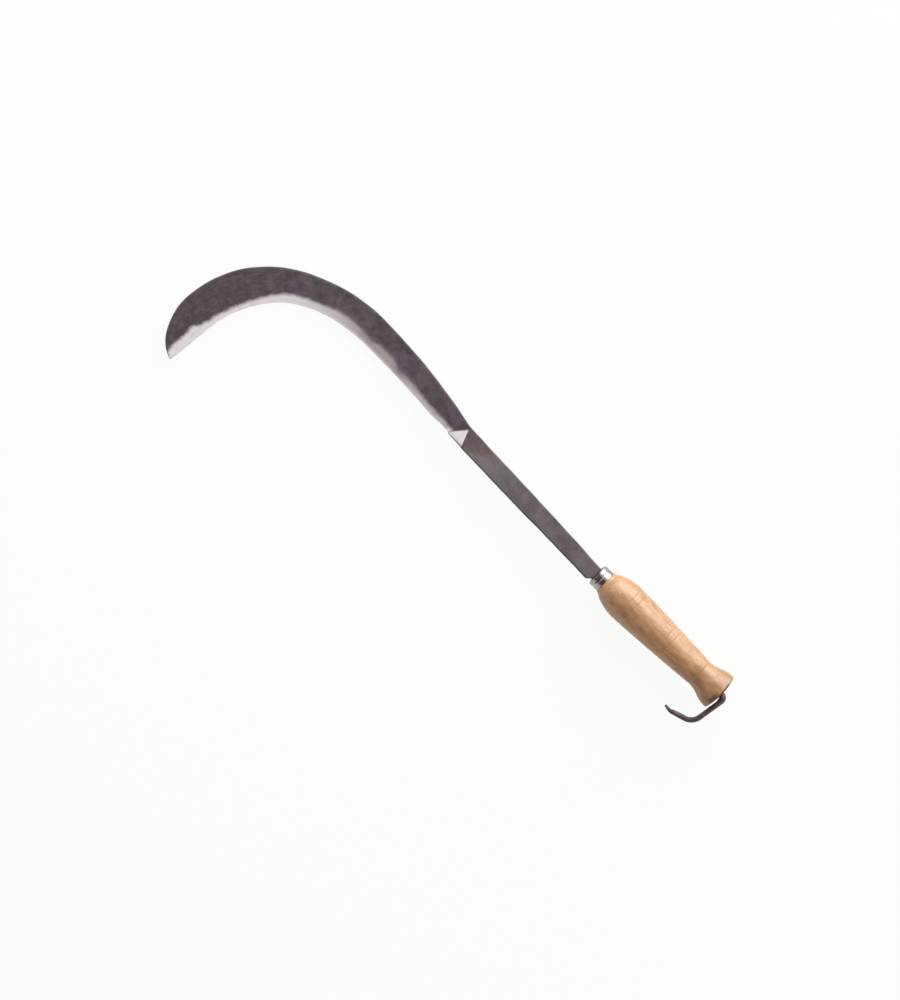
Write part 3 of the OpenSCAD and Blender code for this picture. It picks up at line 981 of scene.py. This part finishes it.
def rod_worn(u):
    """The rod's diameter at a length past the butt: upset in its first bend, uneven after it."""
    drawn = TOE_THINS * ease((u - TOE_THINS_FROM) / TOE_THINS_OVER)
    return ROD + swell(u, **UPSET) - drawn + wander((u, 71, 0), *ROD_UNEVEN)


def hook_section(place, heading, u):
    """A section at a length past the butt, with the steel that the first bend piled up inside it."""
    lump = swell(u, **PILED_UP)
    return rod_section(place, heading, rod_worn(u) + lump, lump / 2)


place = Vector((BUTT_OUT, 0))
heading = math.pi
length = 0
for (radius, bend), straight in ((BUTT_BEND, HOOK_DROP), (TOE_BEND, HOOK_TOE)):
    centre = place + radius * side_of(heading)
    for angle in steps(heading, heading - bend, BEND_STEPS)[1:]:
        length += radius * bend / BEND_STEPS
        shank_rows.append(hook_section(centre - radius * side_of(angle), angle, length))
    heading -= bend
    place = centre - radius * side_of(heading)
    for _ in range(STRAIGHT_STEPS):
        place = place + along(heading) * straight / STRAIGHT_STEPS
        length += straight / STRAIGHT_STEPS
        shank_rows.append(hook_section(place, heading, length))
print("hook's rod:", round(length), "mm")

# %% The point of the hook
SET_DOWN = 1.7
SET_DOWN_STEPS = 5
POINT_LENGTH = 6.4
POINT_TURN = math.radians(17)
POINT_ROOT = 3.4
POINT_END = 2.1
# How far along the point a section lies and how far it has thinned. The last two round it off.
POINT_SECTIONS = [(t, t) for t in (0.2, 0.4, 0.6, 0.8, 0.95)] + [(1, 1.35), (1.05, 2.1)]

root = rod_worn(length)
for t in steps(0, 1, SET_DOWN_STEPS)[1:]:
    bent = heading - POINT_TURN * t
    place = place + along(bent) * SET_DOWN / SET_DOWN_STEPS
    thick = mix(root, POINT_ROOT, ease(t))
    shank_rows.append(rod_section(place, bent, thick, (thick - root) / 2))
heading -= POINT_TURN
outer = (POINT_ROOT - root) / 2
for t, share in POINT_SECTIONS:
    spot = place + along(heading) * POINT_LENGTH * t
    thick = mix(POINT_ROOT, POINT_END, share)
    shank_rows.append(rod_section(spot, heading, thick, outer * (1 - t)))
shank_bm = draw_out(shank_rows, ("past_ramp", "across_bar", "on_face", "short_of_scale"))
print("shank, tang and hook:", len(shank_rows), "sections")

# %% [markdown]
# ### Colours of heat
# The weld was made hot and ground flush afterwards. The heat left bands in the bar beside it: brown,
# then a rusty patch, then clean grey before the violet scale begins. They could be bands straight
# across the bar. On the tool they reach further along the back than along the cutting side, so they
# follow the distance from the facet, with a slant and ragged borders.

# %% The shank's scale and its heat
HEAT_REACH = 60
HEAT_SLANT = 1.3
HEAT_RAGS = 12
HEAT_BANDS = [
    (0.0, paint(91, 80, 79)),
    (0.22, paint(100, 86, 85)),
    (0.28, paint(106, 92, 91)),
    (0.34, paint(115, 104, 106)),
    (0.6, paint(110, 103, 107)),
]

shank_finish, bench = bench_for("forged_shank")
where = in_millimetres(bench)
past = bench.attribute("past_ramp")
across = bench.attribute("across_bar")
face = bench.attribute("on_face")
short = bench.attribute("short_of_scale")
clouds = bench.speckle(where, 0.16, 4)
patches = bench.speckle(where, 0.24, 4, 0.6)
heat = (across * HEAT_SLANT - past + (clouds - 0.5) * HEAT_RAGS) / HEAT_REACH
bands = bench.node("ShaderNodeValToRGB", {"stops": HEAT_BANDS}, {"Fac": heat})
heated = bench.fade(heat, 0.85, 0.5)
rusty = bench.fade(heat, 0.19, 0.26) * bench.fade(heat, 0.36, 0.28) * bench.fade(across, 3, -3)
cleaned = bench.fade(heat, 0.27, 0.36) * bench.fade(heat, 0.75, 0.5) * bench.fade(across, -3, 3)
scale = scale_colour(bench, where, paint(95, 85, 91), paint(117, 106, 112), paint(106, 103, 107))
scale = bench.coats(
    bench.blend(heated, scale, bands),
    [
        (bench.fade(patches, 0.52, 0.68) * heated, 0.3, paint(124, 113, 112)),
        (bench.fade(patches, 0.48, 0.34) * heated, 0.35, paint(72, 63, 64)),
        (rusty * bench.fade(clouds, 0.4, 0.6), 0.5, paint(122, 84, 82)),
        (cleaned, 0.5, paint(124, 115, 118)),
    ],
)
print("scale and heat:", len(bench.tree.nodes), "nodes")

# %% Pits, chamfers, rod and the ground facet
pits = bench.fade(bench.speckle(where, 0.55, 3, 0.6), 0.68, 0.77)
cutting_side = bench.fade(across, 1, 4)
# A line along the corner of the cutting-side chamfer, for a painted highlight
painted_corner_highlight = face * (1 - face) * 4 * cutting_side
scale = bench.coats(
    scale,
    [
        (pits, 0.5, paint(48, 42, 45)),
        # Rubbed paler beside the handle
        (bench.fade(past, -120, -156), 0.7, paint(132, 121, 127)),
        # Painted shade on the chamfer of the cutting side, which faces away from the lamp, and a
        # painted highlight along its corner
        ((1 - face) * cutting_side, 0.15, paint(64, 56, 60)),
        (painted_corner_highlight, 0.35, paint(146, 138, 142)),
        # The blade's scale, where it reaches over the weld
        (bench.fade(short, 1, -1), 0.8, paint(70, 59, 62)),
    ],
)
rod_black = bench.blend(bench.fade(clouds, 0.35, 0.65), paint(80, 67, 66), paint(112, 96, 95))
scale = bench.blend(bench.fade(past, -200, -300), scale, rod_black)
lines = bench.speckle(bench.stretched(where, (1.8, 0.12, 1)), 1, 4, 0.7)
facet = bench.fade(past + (lines - 0.5) * 0.5, -0.15, 0.35) * bench.fade(short + clouds, -0.4, 1.6)
facet = facet * (0.55 + bench.fade(face, 0.2, 0.9) * 0.45)
bare = bench.blend(bench.fade(lines, 0.3, 0.7), paint(212, 205, 208), paint(234, 228, 229))
bare = bench.blend(bench.fade(across, 4, 9) * 0.5, bare, paint(172, 166, 169))
scale_rough = 0.44 + bench.speckle(where, 0.3, 3) * 0.2
scale_height = bench.speckle(where, 0.5, 5, 0.65) * 0.045
part_ground(bench, facet, lines, scale, bare, scale_rough, scale_height)
make_piece("forged_shank", shank_bm, "shank", shank_finish)

# %% [markdown]
# ## Ferrule
# The ferrule is a short bright tube that keeps the wood from splitting, with a groove crimped round
# its middle to hold it on and its front edge rolled in over the wood. A cylinder with a Solidify
# modifier would give the wall, but not the roll. It is a turned shape, so its outline is drawn once
# and spun round the handle's axis. The outline goes all round the wall, so the spun tube is closed
# and has a bore.

# %% Spin an outline round the handle's axis
SPIN_STEPS = 128
SAME_POINT = 0.001


def spun(outline):
    """A closed outline of (x, radius), spun to a solid of revolution."""
    bm = bmesh.new()
    first = bmesh.ops.create_vert(bm, co=(outline[0][0], 0, outline[0][1]))["vert"][0]
    last = first
    for x, radius in outline[1:]:
        last = bmesh.ops.extrude_vert_indiv(bm, verts=[last])["verts"][0]
        last.co = (x, 0, radius)
    bmesh.ops.contextual_create(bm, geom=[last, first])
    bmesh.ops.spin(
        bm,
        geom=bm.verts[:] + bm.edges[:],
        cent=(0, 0, 0),
        axis=(1, 0, 0),
        angle=math.tau,
        steps=SPIN_STEPS,
        use_merge=True,
    )
    bmesh.ops.remove_doubles(bm, verts=bm.verts, dist=SAME_POINT)
    return bm


print("turned pieces: outlines spun in", SPIN_STEPS, "steps")

# %% The ferrule's outline
FERRULE_BACK = 67.5
FERRULE_MOUTH = 77.2
FERRULE_OUT = 10.3
FERRULE_WALL = 0.8
CRIMP_WIDTH = 3.2
CRIMP_DEPTH = 0.3
CRIMP_AT = (FERRULE_BACK + FERRULE_MOUTH) / 2
LIP = 0.3
LIP_STEPS = 5
WALL_STEPS = 44
ROLL_STEPS = 8
ROLL_IN = 1.0
ROLL_OUT = ROLL_IN + FERRULE_WALL
ROLL_AT = FERRULE_MOUTH - ROLL_OUT
ROLL_RING = FERRULE_OUT - ROLL_OUT


def crimp(x):
    return CRIMP_DEPTH * (1 - ease(abs(x - CRIMP_AT) / (CRIMP_WIDTH / 2)))


def rolled(radius):
    """A quarter turn of the front edge, from the wall round to the mouth."""
    turn = steps(0, math.pi / 2, ROLL_STEPS)
    return [(ROLL_AT + radius * math.sin(a), ROLL_RING + radius * math.cos(a)) for a in turn]


wall = steps(FERRULE_BACK + LIP, ROLL_AT, WALL_STEPS)
back_lip = [
    (FERRULE_BACK + LIP * (1 - math.cos(a)), FERRULE_OUT - LIP * (1 - math.sin(a)))
    for a in steps(0, math.pi / 2, LIP_STEPS)
]
outside = [(x, FERRULE_OUT - crimp(x)) for x in wall[1:-1]]
inside = [(x, FERRULE_OUT - FERRULE_WALL - crimp(x)) for x in wall[-2::-1]]
bore_back = [(FERRULE_BACK, FERRULE_OUT - FERRULE_WALL)]
rolled_edge = rolled(ROLL_OUT) + rolled(ROLL_IN)[::-1]
ferrule_bm = spun(back_lip + outside + rolled_edge + inside + bore_back)
print("ferrule:", len(ferrule_bm.faces), "faces")

# %% [markdown]
# ### Bright plate
# Plated and polished steel shows the room more than a colour of its own. It could be a clean mirror,
# which would look too perfect. Shallow dents bend the reflections here and smudges soften them. On
# the
# rolled edge a dark patch is painted on: a painted shadow of the shank and a painted reflection that
# carries the dark stripe across the edge.

# %% The ferrule's finish
ferrule_finish, bench = bench_for("bright_ferrule")
where = in_millimetres(bench)
dents = bench.speckle(where, 0.14, 2)
smudge = bench.speckle(where, 0.25, 3)
colour = bench.blend(bench.fade(smudge, 0.35, 0.7), paint(160, 155, 154), paint(182, 178, 178))
roughness = 0.22 + smudge * 0.1
x = bench.node("ShaderNodeSeparateXYZ", None, {0: where}, out="X")
y = x.output("Y")
on_roll = bench.fade(x, FERRULE_MOUTH - 2.2, FERRULE_MOUTH - 0.9)
# Painted shadow and dark reflection on the rolled edge, in line with the dark stripe
painted_dark_stripe = on_roll * bench.fade(y, -3.5, -1) * bench.fade(y, 6, 4)
colour = bench.blend(painted_dark_stripe * 0.8, colour, paint(70, 56, 52))
steel(bench, colour, roughness, 1.0, dents * 0.012)
make_piece("crimped_ferrule", ferrule_bm, "ferrule", ferrule_finish)

# %% [markdown]
# ## Handle
# The handle is turned from pale beech: a dome behind the ferrule, a swell, a long taper to a waist,
# and a flared butt that stops the hand. Five fine grooves were cut with the corner of a chisel. It
# could be a stack of circles, each with its own size. It is drawn as half an outline and spun, which
# is how the lathe makes it. The outline comes back through the hole for the tang, so the wood is
# hollow where it really is. A lathe can only make that hole round, so its rings are then squared to
# the tang, as burning the hot tang in squares them.

# %% The turned outline
BUTT_FACE = -67.5
SWELL_AT = 41.5
SWELL_R = 17.6
WAIST_AT = -43.5
WAIST_R = 12.8
BUTT_R = 17.6
RIM = 1.2
DOME_R_AT_FERRULE = 10.6
GRIP_BOW = 0.4
COVE_AT = 64.5
COVE_DEPTH = 0.5
COVE_SOFT = 2.5
BUTT_DOME = 2.6
GROOVE_DEPTH = 0.3
GROOVE_SOFT = 0.7
GROOVES = (41.1, 34.5, -1.7, -8.3, WAIST_AT)
NECK_GAP = 0.05
NECK_R = FERRULE_OUT - FERRULE_WALL - NECK_GAP
ROD_HOLE = 2.5
BORE_MOUTH = 5.4
BORE_END = 3.8
TANG_CLEAR = 0.15


def sink(run, drop, distance):
    """How far an arc that leaves level and drops so far over its run has sunk after a distance."""
    radius = (run * run + drop * drop) / (2 * drop)
    return radius - math.sqrt(max(0, radius * radius - distance * distance))


RIM_AT = BUTT_FACE + RIM
FLARE_HALF = (WAIST_AT - RIM_AT) / 2


def turned_radius(x):
    """The radius of the wood at x, from the rim of the butt to the ferrule."""
    if x > SWELL_AT:
        cove = COVE_DEPTH * math.exp(-(((x - COVE_AT) / COVE_SOFT) ** 2))
        dome = sink(FERRULE_BACK - SWELL_AT, SWELL_R - DOME_R_AT_FERRULE, x - SWELL_AT)
        return SWELL_R - dome - cove
    if x > WAIST_AT:
        t = (x - WAIST_AT) / (SWELL_AT - WAIST_AT)
        return mix(WAIST_R, SWELL_R, t) + GRIP_BOW * 4 * t * (1 - t)
    half_drop = (BUTT_R - WAIST_R) / 2
    if x > WAIST_AT - FLARE_HALF:
        return WAIST_R + sink(FLARE_HALF, half_drop, WAIST_AT - x)
    if x > RIM_AT:
        return BUTT_R - sink(FLARE_HALF, half_drop, x - RIM_AT)
    return BUTT_R - RIM + math.sqrt(max(0, RIM * RIM - (RIM_AT - x) ** 2))


def groove(x):
    """1 in the bottom of a groove and 0 away from it."""
    return max(math.exp(-(((x - at) / GROOVE_SOFT) ** 2)) for at in GROOVES)


print("half way along the wood:", round(2 * turned_radius(0), 1), "mm across")

# %% The handle, spun with its mortise
BODY_STEPS = 110
GROOVE_REACH = 1.6
GROOVE_STEPS = 16
RIM_STEPS = 8
BUTT_STEPS = 12
NECK_STEPS = 24
SKIN = 1
MORTISE_END = ROD_FROM - 1.5

near_grooves = [at + d for at in GROOVES for d in steps(-GROOVE_REACH, GROOVE_REACH, GROOVE_STEPS)]
body_xs = set(steps(RIM_AT, FERRULE_BACK, BODY_STEPS)) | set(near_grooves)
body = [(x, turned_radius(x) - GROOVE_DEPTH * groove(x)) for x in sorted(body_xs)]
face_r = BUTT_R - RIM
rim = [
    (RIM_AT - RIM * math.cos(a), face_r + RIM * math.sin(a))
    for a in steps(0, math.pi / 2, RIM_STEPS)[:-1]
]
face = [
    (BUTT_FACE - BUTT_DOME * (1 - (r / face_r) ** 2), r)
    for r in steps(ROD_HOLE, face_r, BUTT_STEPS)[:-1]
]
neck = [(x, NECK_R - crimp(x)) for x in steps(FERRULE_BACK, ROLL_AT, NECK_STEPS)]
neck += rolled(ROLL_IN - NECK_GAP)[1:]
neck += [(neck[-1][0], ROLL_RING - NECK_GAP), (FERRULE_MOUTH, ROLL_RING - NECK_GAP)]
mortise = [(FERRULE_MOUTH, BORE_MOUTH), (ROD_FROM, BORE_END), (MORTISE_END, ROD_HOLE)]
handle_bm = spun(face + rim + body + neck + mortise)
layer = handle_bm.verts.layers.float.new("groove")
for vert in handle_bm.verts:
    x, y, z = vert.co
    radius = math.hypot(y, z)
    outer_skin = RIM_AT < x < FERRULE_BACK and radius > WAIST_R - SKIN
    vert[layer] = groove(x) if outer_skin else 0
    if x > ROD_ROUND_FROM and radius < BORE_MOUTH + TANG_CLEAR:
        share = (FERRULE_MOUTH - x) / (FERRULE_MOUTH - ROD_FROM)
        half_width = mix(TANG_WIDTH, ROD_SQUARE, share) / 2 + TANG_CLEAR
        half_thick = mix(TANG_THICK, ROD_SQUARE, share) / 2 + TANG_CLEAR
        widest = max(abs(y), abs(z))
        vert.co = (x, y / widest * half_width, z / widest * half_thick)
print("handle:", len(handle_bm.faces), "faces")

# %% [markdown]
# ## Beech
# Beech is pale: faint growth rings, short dark flecks along the grain, a cloudy figure and a broad
# drift of tone. Light and shade are also painted into its colour: the cutting side is painted redder
# for the warm light in its shade, the dome and the middle of the grip paler and the butt browner to
# even out the lamp, and the grooves darker for their shade. The grain could be a flat pattern
# wrapped round the handle, which would show a seam. Here it goes through the wood: the rings are
# tubes round the heart of the tree, which lay outside this billet, so they are worked out as a
# distance from a line beside the handle. The lathe left fine rings across the grain, and a thin coat
# of oil gives the sheen.

# %% Rings, streaks and flecks
RING_WIDTH = 2.3
HEART_BESIDE = (0, 19, -26)
HEART_TILT = (0, math.radians(1.5), math.radians(2.5))


def from_axis(bench, place):
    """The distance of a place from the X axis."""
    flat = bench.stretched(place, (0, 1, 1))
    return bench.node("ShaderNodeVectorMath", {"operation": "LENGTH"}, {0: flat}, out="Value")


handle_finish, bench = bench_for("oiled_beech")
where = in_millimetres(bench)
heart = bench.node(
    "ShaderNodeMapping", None, {"Vector": where, "Location": HEART_BESIDE, "Rotation": HEART_TILT}
)
drift = bench.speckle(bench.stretched(where, (0.012, 0.12, 0.12)), 1, 3)
turns = (from_axis(bench, heart) + drift * 3) / RING_WIDTH
ring = bench.node("ShaderNodeMath", {"operation": "FRACT"}, {0: turns})
late = bench.fade(ring, 0.35, 0.95) * (1 - bench.fade(ring, 0.95, 1.0))
streaks = bench.speckle(bench.stretched(where, (0.03, 0.8, 0.8)), 1, 4, 0.6)
flecks = bench.fade(bench.speckle(bench.stretched(where, (0.28, 2.6, 2.6)), 1, 2), 0.62, 0.72)
figure = bench.speckle(bench.stretched(where, (0.11, 0.3, 0.3)), 1, 3, 0.6)
smoky = bench.fade(bench.speckle(where, 0.06, 3), 0.5, 0.7)
print("growth rings:", RING_WIDTH, "mm apart")

# %% The wood's colours
along_x = bench.node("ShaderNodeSeparateXYZ", None, {0: where}, out="X")
along_y = along_x.output("Y")
# The middle of the grip, which is painted paler as painted light
mid_grip_painted_light = bench.fade(along_x, -36, -12) * bench.fade(along_x, 45, 22)
wood = bench.blend(bench.fade(drift, 0.3, 0.7), paint(211, 161, 112), paint(196, 145, 99))
wood = bench.coats(
    wood,
    [
        # Painted light and shade: redder on the cutting side for the warm light in its shade, paler
        # on the dome and in the middle of the grip, browner towards the butt
        (bench.fade(along_y, 0, 7), 0.6, paint(217, 150, 104)),
        (bench.fade(along_x, 25, 60), 0.25, paint(228, 182, 128)),
        (mid_grip_painted_light, 0.2, paint(230, 184, 132)),
        (bench.fade(along_x, -32, -60), 0.55, paint(166, 124, 86)),
        # Clouds and figure
        (smoky, 0.3, paint(166, 116, 79)),
        (bench.fade(figure, 0.5, 0.62), 0.36, paint(152, 104, 68)),
        (bench.fade(figure, 0.5, 0.38), 0.3, paint(234, 188, 136)),
        # Grain
        (late, 0.18, paint(164, 117, 76)),
        (bench.fade(streaks, 0.45, 0.75), 0.42, paint(158, 111, 72)),
        (flecks, 0.5, paint(112, 72, 46)),
        # Painted shade in the bottoms of the grooves
        (bench.attribute("groove"), 0.08, paint(130, 84, 58)),
    ],
)
print("wood:", len(bench.tree.nodes), "nodes")

# %% End grain, scorch and painted shadow at the butt
at_mouth = bench.fade(along_x, FERRULE_MOUTH - 0.5, FERRULE_MOUTH - 0.1)
end_grain = 1 - bench.fade(along_x, BUTT_FACE, BUTT_FACE + 0.8) + at_mouth
# Scorch round the tang hole from burning the tang in, which at the butt also stands for painted
# shadow between the rod and the wood
scorch_and_shadow = end_grain * (1 - bench.fade(from_axis(bench, where) + streaks * 3, 6.0, 11.0))
# Painted shadow of the hook on the wood beside it, at the butt
by_hook = bench.fade(along_y, 1, 7) * bench.fade(along_y, 15, 11)
hook_shadow = bench.fade(along_x, BUTT_FACE + 6, BUTT_FACE + 1) * by_hook
wood = bench.coats(
    wood,
    [
        (hook_shadow, 0.8, paint(84, 58, 42)),
        (end_grain, 0.75, paint(114, 72, 53)),
        (scorch_and_shadow, 0.8, paint(62, 36, 24)),
    ],
)
print("wood with its ends:", len(bench.tree.nodes), "nodes")

# %% Lathe marks and sheen
lathe = bench.speckle(bench.stretched(where, (2.2, 0.03, 0.03)), 1, 3)
height = lathe * 0.012 - flecks * 0.02 + streaks * 0.015
sockets = {
    "Base Color": wood,
    "Roughness": 0.44 + streaks * 0.12 + flecks * 0.1,
    "Normal": bench.bump(height),
    "Specular IOR Level": 0,
    "Coat Weight": 1 - end_grain,
    "Coat Roughness": 0.42,
    "Coat IOR": 1.75,
}
bench.show(bench.node("ShaderNodeBsdfPrincipled", None, sockets))
make_piece("turned_handle", handle_bm, "handle", handle_finish)
